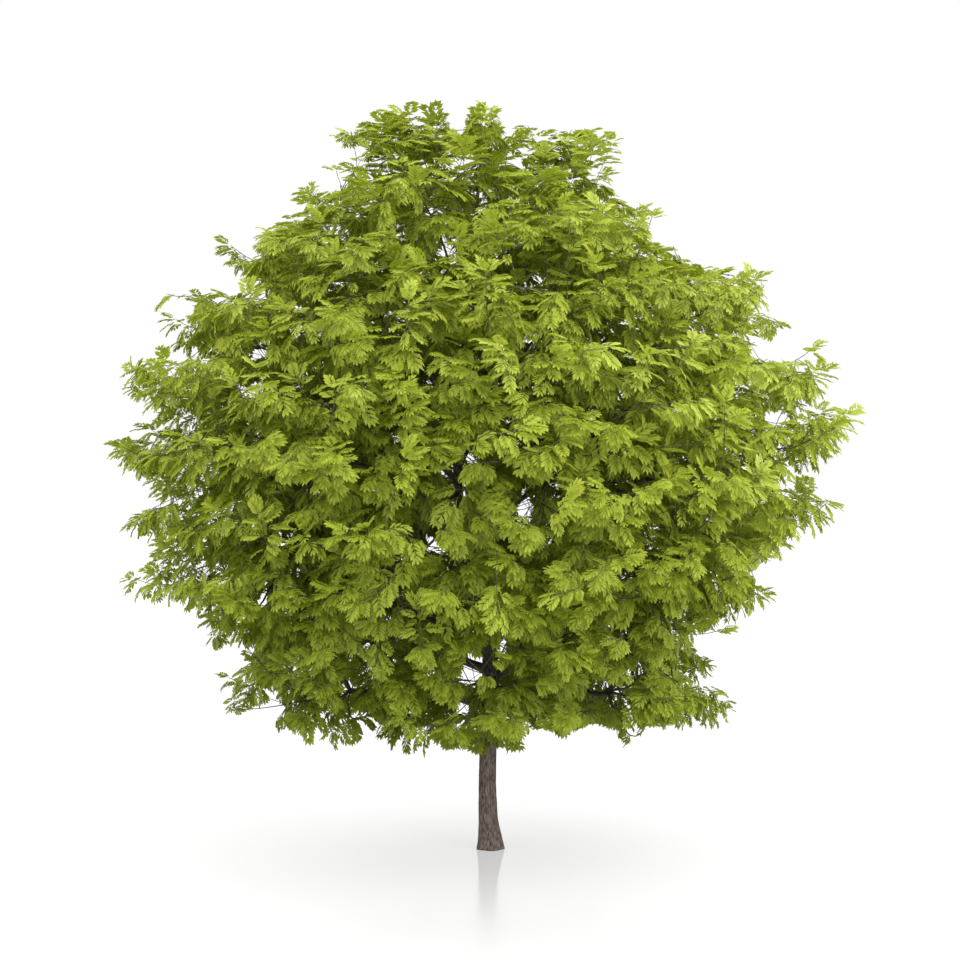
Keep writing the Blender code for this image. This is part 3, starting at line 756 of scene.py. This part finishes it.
HANG_HEIGHTS = (5.4, 7.6)  # leaves turn down below the first and up above the second
HANG_SHARES = (1.0, -1.0)
LEAF_TRIES = 4
TRY_AGAIN_LENGTH = 0.82  # a leaf that doesn't fit is tried again that much shorter
TRY_AGAIN_HANG = 0.2  # and hanging so much more
TIP_REACH = 0.95  # a leaf's room is tested at its tip and where it is widest
WIDEST_AT = 0.55
WIDEST_HALF = 0.26
OUTLINE_SLACK = 1.05
LEAF_NOTCH = 0.08  # leaves hang down between two layers
SPACE_SLACK = 0.12
LIMB_GAP = 0.02


def leaf_shape(kind, number, rng):
    """Points, faces and UVs of one leaf a metre long, along +X with its upper side to +Z."""
    all_pairs, slenderness, outline = kind
    pairs = all_pairs[number % len(all_pairs)]
    points, quads, uvs = [], [], []
    bend = rng.uniform(-LEAF_BEND, LEAF_BEND)

    def spine(s):
        return np.array([s * (1.0 - LEAF_DRAWN_IN * s * s), bend * s * s, -LEAF_ARCH * s * s])

    def leaflet(s, side, length):
        first = len(points)
        scatter = ANGLE_SCATTER if side else END_SCATTER
        lean = rng.uniform(-scatter, scatter)
        if side:
            lean = math.radians(LEAFLET_ANGLE[0] - LEAFLET_ANGLE[1] * s + lean)
        slope = -2.0 * LEAF_ARCH * s
        out = unit(np.array([math.cos(lean), math.sin(lean) * (side or 1.0), slope * math.cos(lean)]))
        across = unit(np.cross([-slope, 0.0, 1.0], out))
        roll = -side * LEAFLET_ROLL + rng.uniform(-ROLL_SCATTER, ROLL_SCATTER)
        over = np.cross(out, across)
        across, over = (across * math.cos(roll) + over * math.sin(roll),
                        over * math.cos(roll) - across * math.sin(roll))
        droop = LEAFLET_DROOP * rng.uniform(*DROOP_RANGE)
        width = length * slenderness * rng.uniform(*WIDTH_RANGE)
        for x, y in outline:
            rise = abs(y) * 2.0 * LEAFLET_FOLD * width - droop * length * x * x
            points.append(spine(s) + out * x * length + across * y * width + over * rise)
            uvs.append((0.5 + y, x))
        for k in range(0, len(outline) - 2, 2):
            quads.append([first, first + k + 3, first + k + 2, first + k + 1])

    for k in range(pairs):
        s = FIRST_PAIR + PAIRS_SPAN * k / (pairs - 1)
        size = PAIR_SIZES[0] + PAIR_SIZES[1] * math.sin(math.pi * (k + PAIR_SHIFT) / (pairs + PAIR_SHIFT))
        for side in (-1.0, 1.0):
            place = s + rng.uniform(-PLACE_SCATTER, PLACE_SCATTER)
            leaflet(place, side, LEAFLET_LENGTH * size * rng.uniform(*SIZE_RANGE))
    leaflet(RACHIS_SHARES[-1], 0.0, LEAFLET_LENGTH * rng.uniform(*END_SIZES))
    first = len(points)
    rib_u, rib_width, rib_v, rib_length = RACHIS_UV
    for s in RACHIS_SHARES:
        half = RACHIS_WIDTH * (RACHIS_TAPER[0] - RACHIS_TAPER[1] * s)
        for y in (-1.0, 1.0):
            points.append(spine(s) + np.array([0.0, y * half, -RACHIS_BELOW]))
            uvs.append((rib_u + rib_width * y, rib_v + rib_length * s))
    for k in range(0, 2 * len(RACHIS_SHARES) - 2, 2):
        quads.append([first + k, first + k + 2, first + k + 3, first + k + 1])
    quads = np.array(quads)
    return np.array(points), quads, np.array(uvs)[quads.ravel()]


def limb_stretches(masses):
    """Every straight stretch of trunk and bough as start, way and radius, for distances."""
    limbs = [([trunk_middle(row[0]) for row in TRUNK], [row[3] for row in TRUNK])]
    limbs += [(mass.bough, mass.radii) for mass in masses if mass.bough]
    rows = [(places[k], places[k + 1] - places[k], radii[k])
            for places, radii in limbs for k in range(len(places) - 1)]
    return [np.array(column) for column in zip(*rows)]


def limb_clearance(points, limbs):
    """Each point's distance to the surface of the nearest limb."""
    starts, ways, radii = limbs
    away = points[:, None, :] - starts[None]
    share = np.clip((away * ways).sum(2) / (ways * ways).sum(1), 0.0, 1.0)
    return (np.linalg.norm(away - share[..., None] * ways, axis=2) - radii).min(axis=1)


def leaf_seats(nodes):
    """Where leaves sit: place, direction of the twig there, row of the hand, shoot."""
    places, ways, rows, shoots = [], [], [], []
    for number, node in enumerate(nodes[STEM_POINTS - 1:]):
        lengths = np.linalg.norm(np.diff(node.curve, axis=0), axis=1)
        along = np.concatenate([[0.0], lengths.cumsum()])
        for row in INNER_HAND if node.children else HAND:
            at = max(along[-1] - row[0], SEAT_LEAST * along[-1])
            places.append([np.interp(at, along, node.curve[:, axis]) for axis in range(3)])
            piece = min(max(int(np.searchsorted(along, at)), 1), TWIG_POINTS - 1)
            ways.append(node.curve[piece] - node.curve[piece - 1])
            rows.append(row)
            shoots.append(number)
    return np.array(places), unit(np.array(ways)), np.array(rows), np.array(shoots)


def mass_leaves(mass, limbs):
    """Frames of a mass's leaves: place, three axes, length, shape and shoot."""
    rng = np.random.default_rng(mass.seed + LEAF_SEED)
    places, ways, rows, shoots = leaf_seats(mass.nodes)
    sway = rng.normal(0.0, HAND_SCATTER, (shoots.max() + 1, 3))[shoots]
    middle = np.array([0.0, 0.0, CROWN_MIDDLE])
    facing = unit(UP_WAY * SKYWARD + unit(places - middle) * OUTWARD + sway)
    kept = {}
    left = np.arange(len(places))
    for attempt in range(LEAF_TRIES):
        place, way, sky = places[left], ways[left], facing[left]
        spread = np.radians(rows[left, 1] * rng.uniform(*SPREAD_RANGE, len(left)))
        turn = np.radians(rows[left, 2] + rng.uniform(-TURN_SCATTER, TURN_SCATTER, len(left)))
        right = unit(np.cross(way, sky))
        top = np.cross(right, way)
        outward = right * np.cos(turn)[:, None] + top * np.sin(turn)[:, None]
        along = way * np.cos(spread)[:, None] + outward * np.sin(spread)[:, None]
        along = along + rng.normal(0.0, LEAF_SCATTER, along.shape)
        hang = rows[left, 4] * np.interp(place[:, 2], HANG_HEIGHTS, HANG_SHARES)
        hang = hang + rng.uniform(-HANG_SCATTER, HANG_SCATTER, len(along))
        along[:, 2] -= hang + TRY_AGAIN_HANG * attempt
        along = unit(along)
        over = sky + rng.normal(0.0, LEAF_SCATTER, along.shape)
        over = unit(over - along * (sky * along).sum(1, keepdims=True))
        over = unit(over - along * (over * along).sum(1, keepdims=True))
        side = np.cross(over, along)
        plain = depth_in_crown(place) < PLAIN_DEPTH
        shape = rng.integers(0, SHAPES_OF_EACH, len(left)) + SHAPES_OF_EACH * plain
        length = rng.uniform(*LEAF_LENGTH, len(along)) * rows[left, 3] * TRY_AGAIN_LENGTH ** attempt
        length = length * np.where(plain, PLAIN_LENGTH, 1.0)
        length = length * np.interp(place[:, 2], LOW_HEIGHTS, LOW_LENGTHS)
        tip = place + (along * TIP_REACH - over * LEAF_ARCH) * length[:, None]
        half = place + along * WIDEST_AT * length[:, None]
        edge = side * WIDEST_HALF * length[:, None]
        fits = ~in_sky_gap(place * 0.5 + half * 0.5) & ~in_sky_gap(half * 0.5 + tip * 0.5)
        for point in (tip, half + edge, half, half - edge):
            fits &= in_own_space(point, mass, OUTLINE_SLACK, SPACE_SLACK, LEAF_NOTCH)
            fits &= limb_clearance(point, limbs) > LIMB_GAP
            fits &= above_underside(point) & ~in_sky_gap(point)
        found = dict(place=place, along=along, side=side, over=over,
                     length=length, shape=shape, shoot=shoots[left])
        for key, values in found.items():
            kept.setdefault(key, []).append(values[fits])
        left = left[~fits]
    return {key: np.concatenate(values) for key, values in kept.items()}


def leaf_arrays(leaves, shapes):
    """Points, faces, UVs and the leaf number of each face, for all the leaves of one piece."""
    points, faces, uvs, owner = [], [], [], []
    first = 0
    for number, (shape, quads, corners) in enumerate(shapes):
        chosen = np.flatnonzero(leaves["shape"] == number)
        if not len(chosen):
            continue
        place, along, side, over = (leaves[key][chosen, None] for key in ("place", "along", "side", "over"))
        scale = leaves["length"][chosen, None, None]
        turned = shape[None, :, 0:1] * along + shape[None, :, 1:2] * side + shape[None, :, 2:3] * over
        points.append((place + scale * turned).reshape(-1, 3))
        offsets = first + np.arange(len(chosen)) * len(shape)
        faces.append((quads[None] + offsets[:, None, None]).reshape(-1, 4))
        uvs.append(np.tile(corners, (len(chosen), 1)))
        owner.append(np.repeat(chosen, len(quads)))
        first += len(chosen) * len(shape)
    return [np.concatenate(part) for part in (points, faces, uvs, owner)]


# ---- materials

# Base colours of the leaves, painted shade and painted sunlight, from deep in the crown to full sun
LEAF_SUN_SHADE_TONES = (
    (0.094, 0.124, 0.007),
    (0.128, 0.162, 0.010),
    (0.166, 0.206, 0.015),
    (0.208, 0.250, 0.023),
    (0.254, 0.298, 0.044),
    (0.306, 0.350, 0.070),
)
LEAF_ROUGHNESS = 0.55
LEAF_SPECULAR = 0.20
LEAF_THROUGH = 0.27  # share of the light that comes through
THROUGH_TINT = (2.0, 2.1, 1.0)

# Across a leaflet from its midrib: place, factor on the tone and what is added; along it: place, factors,
# darker at the leaflet's base and lighter at its tip, painted shade and painted light
ACROSS_LEAFLET = ((0.0, 1.75, 0.02), (0.045, 0.92, 0.0), (0.30, 1.0, 0.0), (0.47, 1.30, 0.01))
ALONG_LEAFLET_PAINTED_LIGHT = ((0.0, (0.86, 0.86, 0.86)), (1.0, (1.22, 1.18, 1.10)))

# Bark: colours of fissures and plates, and how many plates there are to the metre
BARKS = {
    "trunk": ((0.024, 0.019, 0.015), (0.148, 0.121, 0.101), 62.0),
    "bough": ((0.040, 0.032, 0.024), (0.155, 0.130, 0.102), 70.0),
    "twig": ((0.030, 0.026, 0.014), (0.085, 0.074, 0.046), 90.0),
}
BARK_ROUGHNESS = 0.88
BARK_SPECULAR = 0.25
BARK_STRETCH = (1.0, 1.0, 0.30)
BARK_BUMP = {"Strength": 0.55, "Distance": 0.004}
PLATES_NOISE = {"Detail": 6.0, "Roughness": 0.62}
PATCHES_NOISE = {"Scale": 5.5, "Detail": 3.0, "Roughness": 0.55}
BARK_EDGES = (0.36, 0.64)  # between these values of the noise fissures turn into plates
PATCHES = ((0.35, (0.82, 0.80, 0.78)), (0.68, (1.12, 1.12, 1.08)))


def new_material(name, roughness, specular=None):
    """A material, its node tree and its shader."""
    material = bpy.data.materials.new(name)
    material.use_nodes = True
    shader = material.node_tree.nodes["Principled BSDF"]
    shader.inputs["Roughness"].default_value = roughness
    shader.inputs["Metallic"].default_value = 0.0
    if specular is not None:
        shader.inputs["Specular IOR Level"].default_value = specular
    return material, material.node_tree, shader


def add_node(tree, kind, **values):
    """A node with named input values set."""
    node = tree.nodes.new(kind)
    for key, value in values.items():
        node.inputs[key.replace("_", " ")].default_value = value
    return node


def add_maths(tree, kind, operation, source, *values):
    """A maths node, plain or for vectors, on a socket and on fixed values."""
    node = tree.nodes.new(kind)
    node.operation = operation
    tree.links.new(source, node.inputs[0])
    for number, value in enumerate(values):
        node.inputs[number + 1].default_value = value
    return node.outputs["Value"]


def add_ramp(tree, source, stops):
    """The colour that a value takes from a ramp of places and colours."""
    ramp = tree.nodes.new("ShaderNodeValToRGB")
    elements = ramp.color_ramp.elements
    for _ in stops[2:]:
        elements.new(1.0)
    for element, (place, colour) in zip(elements, stops):
        element.position = place
        element.color = (*colour, 1.0)
    tree.links.new(source, ramp.inputs["Fac"])
    return ramp.outputs["Color"]


def add_product(tree, first, second):
    """Two colours multiplied."""
    blend = tree.nodes.new("ShaderNodeMix")
    blend.data_type = "RGBA"
    blend.blend_type = "MULTIPLY"
    blend.inputs["Factor"].default_value = 1.0
    tree.links.new(first, blend.inputs["A"])
    tree.links.new(second, blend.inputs["B"])
    return blend.outputs["Result"]


def leaf_material(name, tone):
    """Leaf tissue with a paler midrib and rim, painted shade at each leaflet's base and painted light at
    its tip, and light coming through it.
    """
    material, tree, shader = new_material(name, LEAF_ROUGHNESS, LEAF_SPECULAR)
    link = tree.links.new
    where = tree.nodes.new("ShaderNodeUVMap")
    where.uv_map = "OFBake"
    split = tree.nodes.new("ShaderNodeSeparateXYZ")
    link(where.outputs["UV"], split.inputs["Vector"])
    aside = add_maths(tree, "ShaderNodeMath", "SUBTRACT", split.outputs["X"], 0.5)
    aside = add_maths(tree, "ShaderNodeMath", "ABSOLUTE", aside)
    across = add_ramp(tree, aside, [(place, [min(1.0, c * factor + more) for c in tone])
                                    for place, factor, more in ACROSS_LEAFLET])
    # painted shade and light: each leaflet darker at its base and lighter at its tip
    along = add_ramp(tree, split.outputs["Y"], ALONG_LEAFLET_PAINTED_LIGHT)
    link(add_product(tree, across, along), shader.inputs["Base Color"])
    through = tree.nodes.new("ShaderNodeBsdfTranslucent")
    tint = [min(1.0, c * factor) for c, factor in zip(tone, THROUGH_TINT)]
    through.inputs["Color"].default_value = (*tint, 1.0)
    mixed = add_node(tree, "ShaderNodeMixShader", Fac=LEAF_THROUGH)
    link(shader.outputs["BSDF"], mixed.inputs[1])
    link(through.outputs["BSDF"], mixed.inputs[2])
    link(mixed.outputs["Shader"], tree.nodes["Material Output"].inputs["Surface"])
    return material


def bark_material(name, dark, light, scale):
    """Grey bark: upright plates, darker fissures and a few pale patches."""
    material, tree, shader = new_material(name, BARK_ROUGHNESS, BARK_SPECULAR)
    link = tree.links.new
    where = tree.nodes.new("ShaderNodeTexCoord")
    stretch = add_node(tree, "ShaderNodeMapping", Scale=BARK_STRETCH)
    link(where.outputs["Object"], stretch.inputs["Vector"])
    plates = add_node(tree, "ShaderNodeTexNoise", Scale=scale, **PLATES_NOISE)
    link(stretch.outputs["Vector"], plates.inputs["Vector"])
    patches = add_node(tree, "ShaderNodeTexNoise", **PATCHES_NOISE)
    link(where.outputs["Object"], patches.inputs["Vector"])
    colour = add_ramp(tree, plates.outputs["Fac"], tuple(zip(BARK_EDGES, (dark, light))))
    tint = add_ramp(tree, patches.outputs["Fac"], PATCHES)
    link(add_product(tree, colour, tint), shader.inputs["Base Color"])
    bump = add_node(tree, "ShaderNodeBump", **BARK_BUMP)
    link(plates.outputs["Fac"], bump.inputs["Height"])
    link(bump.outputs["Normal"], shader.inputs["Normal"])
    return material


# ---- camera, light and floor

CAMERA_LENS = 65.7
CAMERA_SENSOR = 36.0
CAMERA_CLIP = (0.1, 500.0)

# Lights: name, place, aim, size, power and colour
LIGHTS = (
    ("key", (6.5, -12.0, 15.0), (0.2, 0.0, 4.3), 24.0, 6200.0, (1.0, 0.975, 0.93)),
    ("low", (12.0, -13.0, 4.0), (0.0, 0.0, 3.2), 12.0, 1700.0, (0.99, 0.99, 1.0)),
    ("left", (-14.0, -10.0, 8.0), (0.0, 0.0, 4.0), 12.0, 1900.0, (0.98, 0.99, 1.0)),
)

FLOOR_RADIUS = 120.0
FLOOR_SIDES = 48
FLOOR_HEIGHT = -0.002
FLOOR_ROUGHNESS = (0.05, 0.34)
FLOOR_FADE = (0.8, 4.2)  # this far from the trunk it starts to turn matt, and that far it is
FLOOR_IOR = 1.29  # a faint sheen
FLOOR_SHADED = 0.21  # the floor glows with painted light almost as white as the surround, so shade on it stays faint
FLOOR_PAINTED_GLOW = (0.42, 0.66)  # painted glow: dimmer at the place below, a painted shade under the tree, and brighter so far from there
PAINTED_SHADE_MIDDLE = (0.0, -1.0, 0.0)
PAINTED_SHADE_REACH = 5.5
PAINTED_GLOW_COLOUR = (1.0, 1.0, 0.995, 1.0)


def add_camera():
    """The camera at the photo's angle, level and facing +Y."""
    data = bpy.data.cameras.new("camera")
    data.lens = CAMERA_LENS
    data.sensor_width = CAMERA_SENSOR
    data.clip_start, data.clip_end = CAMERA_CLIP
    camera = add_object("camera", data)
    camera.location = (VIEW_X, -VIEW_DISTANCE, VIEW_HEIGHT)
    camera.rotation_euler = (math.pi / 2.0, 0.0, 0.0)
    bpy.context.scene.camera = camera


def add_area_light(name, place, aim, size, power, colour):
    data = bpy.data.lights.new(name, "AREA")
    data.shape = "DISK"
    data.size = size
    data.energy = power
    data.color = colour
    light = add_object(name, data)
    light.location = place
    light.rotation_euler = (Vector(aim) - Vector(place)).to_track_quat("-Z", "Y").to_euler()


def floor_material():
    """Pale and sleek by the trunk, matt further off; it glows with painted light, dimmer round a place just
    in front of the trunk for painted shade under the tree, and brighter further off.
    """
    material, tree, shader = new_material("floor", FLOOR_ROUGHNESS[0])
    link = tree.links.new
    shader.inputs["IOR"].default_value = FLOOR_IOR
    shader.inputs["Base Color"].default_value = (FLOOR_SHADED, FLOOR_SHADED, FLOOR_SHADED, 1.0)
    # painted light: the floor glows though it is no lamp
    shader.inputs["Emission Color"].default_value = PAINTED_GLOW_COLOUR
    where = tree.nodes.new("ShaderNodeTexCoord").outputs["Object"]
    away = add_maths(tree, "ShaderNodeVectorMath", "LENGTH", where)
    blur = add_node(tree, "ShaderNodeMapRange", From_Min=FLOOR_FADE[0], From_Max=FLOOR_FADE[1],
                    To_Min=FLOOR_ROUGHNESS[0], To_Max=FLOOR_ROUGHNESS[1])
    link(away, blur.inputs["Value"])
    link(blur.outputs["Result"], shader.inputs["Roughness"])
    # painted shade under the tree: the glow dims towards the place below
    away = add_maths(tree, "ShaderNodeVectorMath", "DISTANCE", where, PAINTED_SHADE_MIDDLE)
    glow = add_node(tree, "ShaderNodeMapRange", From_Max=PAINTED_SHADE_REACH,
                    To_Min=FLOOR_PAINTED_GLOW[0], To_Max=FLOOR_PAINTED_GLOW[1])
    glow.interpolation_type = "SMOOTHSTEP"
    link(away, glow.inputs["Value"])
    link(glow.outputs["Result"], shader.inputs["Emission Strength"])
    return material


def add_stage():
    """A pale floor, a white surround and soft lights."""
    mesh = bpy.data.meshes.new("floor")
    angles = np.linspace(0.0, 2.0 * np.pi, FLOOR_SIDES, False)
    corners = [(FLOOR_RADIUS * math.cos(a), FLOOR_RADIUS * math.sin(a), FLOOR_HEIGHT) for a in angles]
    mesh.from_pydata(corners, [], [tuple(range(FLOOR_SIDES))])
    mesh.materials.append(floor_material())
    add_object("floor", mesh)
    world = bpy.data.worlds.new("surround")
    world.use_nodes = True
    background = world.node_tree.nodes["Background"]
    background.inputs["Color"].default_value = (1.0, 1.0, 1.0, 1.0)
    background.inputs["Strength"].default_value = 1.0
    bpy.context.scene.world = world
    for light in LIGHTS:
        add_area_light(*light)
    bpy.context.scene.view_settings.view_transform = "Standard"


# ---- the tree

# Painted sun and shade in the leaves' base colours: how sunny a spray's colour is, by where it stands in
# the crown
SUN_LEAST = 0.20
SUN_BY_DEPTH = 0.45  # more on the outline than at the crown's axis
SUN_BY_HEIGHT = 0.066  # per metre
SUN_BY_SIDE = 0.014  # per metre to the right, where the light comes from
SUN_ASIDE = 0.034  # per metre out to either side, from this far on
SHADE_HALF_WIDTH = 1.6
MIDDLE_HEIGHT = 4.0
TONE_SCATTER = 0.30
TONE_SEED = 80


def deal_painted_sun_tones(mass, leaves):
    """A tone for every shoot's spray of leaves, painted sun and shade: the further out and up it is, the
    sunnier.
    """
    rng = np.random.default_rng(mass.seed + TONE_SEED)
    ends = np.array([list(node.place) for node in mass.nodes[STEM_POINTS - 1:]])
    depth = np.minimum(depth_in_crown(ends), 1.0)
    sun = SUN_LEAST + SUN_BY_DEPTH * depth ** 2 + SUN_BY_HEIGHT * (ends[:, 2] - MIDDLE_HEIGHT)
    sun = sun + SUN_BY_SIDE * ends[:, 0] + SUN_ASIDE * (np.abs(ends[:, 0]) - SHADE_HALF_WIDTH)
    tone = np.round(sun * (len(LEAF_SUN_SHADE_TONES) - 1) + rng.normal(0.0, TONE_SCATTER, len(ends)))
    return np.clip(tone, 0, len(LEAF_SUN_SHADE_TONES) - 1).astype(int)[leaves["shoot"]]


# The tiers in the order they are built, with a finish slot's name for each
SLOTS = {"skirt": "foliage_low", "lower": "foliage_low", "middle": "foliage_middle",
         "upper": "foliage_high", "head": "foliage_high", "top": "foliage_high"}
MASSES_TOGETHER = 3  # so many masses' leaves are joined into a piece


def add_boughs(tier, masses, bark):
    """The boughs of a tier as one piece."""
    points, faces = [], []
    for mass in masses:
        bough_points, bough_faces = make_bough(mass)
        faces.append(bough_faces + sum(map(len, points)))
        points.append(bough_points)
    mesh = array_mesh(f"{tier}_boughs", np.concatenate(points), np.concatenate(faces))
    add_piece(f"{tier}_boughs_with_bark", mesh, [bark], [mass.bough_name for mass in masses])


def add_twigs(tier, masses, bark):
    """The twigs of a tier as one piece."""
    twigs = [mass_twigs(mass) for mass in masses]
    curves, radii = (np.concatenate(arrays) for arrays in zip(*twigs))
    rings = rings_along(curves, radii, TWIG_SIDES)
    faces = tube_faces(len(curves), TWIG_POINTS, TWIG_SIDES)
    mesh = array_mesh(f"{tier}_twigs", rings.reshape(-1, 3), faces)
    add_piece(f"{tier}_twigs", mesh, [bark], [mass.name for mass in masses])


def add_leaves(name, masses, limbs, shapes, materials):
    """The leaves of a few masses as one piece."""
    sets = [mass_leaves(mass, limbs) for mass in masses]
    tones = [deal_painted_sun_tones(mass, leaves) for mass, leaves in zip(masses, sets)]
    leaves = {key: np.concatenate([one[key] for one in sets]) for key in sets[0]}
    points, faces, uvs, owner = leaf_arrays(leaves, shapes)
    mesh = array_mesh(name, points, faces, np.concatenate(tones)[owner], uvs, smooth=False)
    add_piece(name, mesh, materials, [mass.name for mass in masses])


def main():
    """The stage, the trunk and, by tiers, boughs, twigs and leaves."""
    add_camera()
    add_stage()
    barks = {limb: bark_material(f"{limb}_bark", *values) for limb, values in BARKS.items()}
    # lit and shaded copies of one leaf material, with painted sun and shade
    leaf_materials = [leaf_material(f"leaf_sun_shade_{k + 1}", tone) for k, tone in enumerate(LEAF_SUN_SHADE_TONES)]
    rng = random.Random(SHAPES_SEED)
    shapes = [leaf_shape(kind, k, rng) for kind in (FINE_LEAF, PLAIN_LEAF) for k in range(SHAPES_OF_EACH)]
    masses = make_masses()
    limbs = limb_stretches(masses)
    shares = [room_of(mass) ** ROOM_POWER for mass in masses]
    for mass, share in zip(masses, shares):
        mass.nodes = grow(mass, round(SHOOTS * share / sum(shares)))

    mesh = array_mesh("trunk_with_bark", *make_trunk())
    add_piece("trunk_with_bark", mesh, [barks["trunk"]], ["trunk"])
    for tier in SLOTS:
        members = [mass for mass in masses if mass.tier == tier]
        if members[0].bough_name:
            add_boughs(tier, members, barks["bough"])
        add_twigs(tier, members, barks["twig"])
        for k in range(0, len(members), MASSES_TOGETHER):
            some = members[k:k + MASSES_TOGETHER]
            name = f"{tier}_leaves_{k // MASSES_TOGETHER + 1}" if len(members) > 1 else f"{tier}_leaves"
            add_leaves(name, some, limbs, shapes, leaf_materials)


main()
